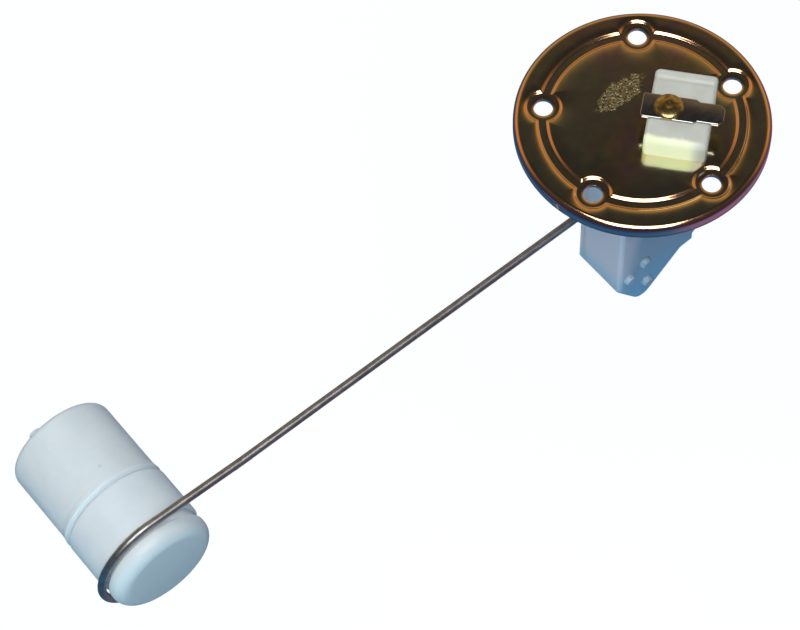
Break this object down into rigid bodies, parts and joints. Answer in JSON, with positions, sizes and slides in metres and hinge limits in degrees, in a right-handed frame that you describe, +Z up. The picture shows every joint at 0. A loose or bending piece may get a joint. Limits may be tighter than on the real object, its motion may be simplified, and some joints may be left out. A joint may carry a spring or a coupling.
{
  "type": "fuel level sender",
  "caption": "Fuel tank level sender: round screw flange with blade terminal, rheostat case below it, and a float on a long hinged wire arm.",
  "frame": {"origin": "centre of the flange in the plane of its rim, where it seats on the tank", "axes": "+Z up out of the tank, +X along the arm towards the float, +Y along the pivot towards the case's closed face"},
  "size_m": [0.2203, 0.0928, 0.0958],
  "materials": {
    "passivated_zinc": "zinc plated, yellow iridescent passivation, mirror bright",
    "white_acetal": "moulded translucent white, satin",
    "tinned_steel": "stamped and tin plated, dull mirror",
    "brass": "plain brass, lightly tarnished",
    "gasket_rubber": "fuel resistant rubber sheet",
    "card_board": "brown paper laminate",
    "resistance_wire": "fine nickel alloy wire, closely wound",
    "steel_wire": "drawn steel wire, dull nickel tone",
    "black_nylon": "moulded black",
    "float_plastic": "moulded translucent white, smooth satin"
  },
  "bodies": {
    "sender": {"flange_plate": "passivated_zinc", "terminal_pad": "white_acetal", "spade_terminal": "tinned_steel", "terminal_rivet": "brass", "rivet_washer": "brass", "case_gasket": "gasket_rubber", "case_body": "white_acetal", "case_cover": "white_acetal", "pivot_bush": "brass", "bearing_plate": "white_acetal", "resistance_card": "card_board", "resistance_winding": "resistance_wire", "feed_clip": "brass", "end_clip": "brass", "feed_strip": "brass", "ground_strip": "brass"},
    "arm": {"float_arm": "steel_wire", "thrust_washer": "steel_wire", "rotor_hub": "black_nylon", "wiper_arm": "brass", "wiper_contact": "brass"},
    "float": {"float_far_shell": "float_plastic", "float_near_shell": "float_plastic", "float_plug": "float_plastic"}
  },
  "joints": [
    {"name": "arm_swing", "type": "hinge", "parent": "sender", "child": "arm", "pos_m": [0.005, 0, -0.0513], "axis": [0, 1, 0], "range_deg": [-15, 62]},
    {"name": "float_spin", "type": "hinge", "parent": "arm", "child": "float", "pos_m": [0.1666, -0.03, -0.0627], "axis": [0, 1, 0], "continuous": true}
  ]
}
